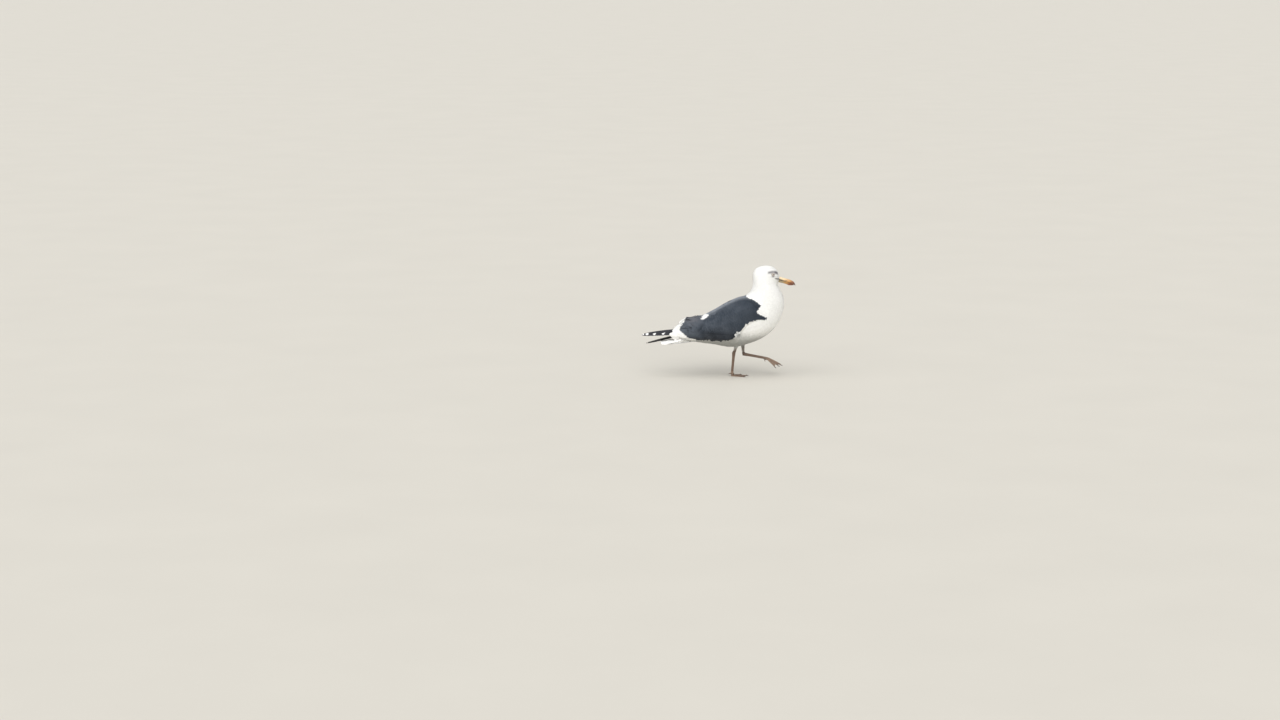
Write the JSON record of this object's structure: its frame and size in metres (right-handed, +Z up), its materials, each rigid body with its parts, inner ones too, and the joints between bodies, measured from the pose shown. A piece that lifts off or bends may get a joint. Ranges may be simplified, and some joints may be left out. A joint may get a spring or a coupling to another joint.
{
  "type": "lesser black-backed gull",
  "caption": "Life-size still model of an adult dark-backed gull in mid-stride, on its right foot with the left one lifted.",
  "frame": {"origin": "on the floor, under the joint of the standing foot's toes, in the plane that halves the body", "axes": "+X forward along the body, +Y to the bird's left, +Z up"},
  "size_m": [0.4731, 0.1392, 0.345],
  "materials": {
    "white_plumage": "soft white feathers",
    "slate_plumage": "matte slate-grey feathers",
    "black_plumage": "black flight feathers with a slight sheen",
    "bill_horn": "satin yellow-orange horn",
    "leg_skin": "scaled yellow-brown skin",
    "claw_horn": "dark horn",
    "eye": "wet and glossy"
  },
  "bodies": {
    "root": {"trunk": "white_plumage", "neck": "white_plumage", "head": "white_plumage", "tail": "white_plumage", "thigh_left": "white_plumage", "thigh_right": "white_plumage", "wing_left": "slate_plumage", "wing_right": "slate_plumage", "primaries_left": "black_plumage", "primaries_right": "black_plumage", "bill_upper": "bill_horn", "bill_lower": "bill_horn", "eye_left": "eye", "eye_right": "eye", "leg_left": "leg_skin", "leg_right": "leg_skin", "foot_left": "leg_skin", "foot_right": "leg_skin", "hind_toe_left": "leg_skin", "hind_toe_right": "leg_skin", "claw_left_inner": "claw_horn", "claw_left_middle": "claw_horn", "claw_left_outer": "claw_horn", "claw_right_inner": "claw_horn", "claw_right_middle": "claw_horn", "claw_right_outer": "claw_horn"}
  },
  "joints": []
}
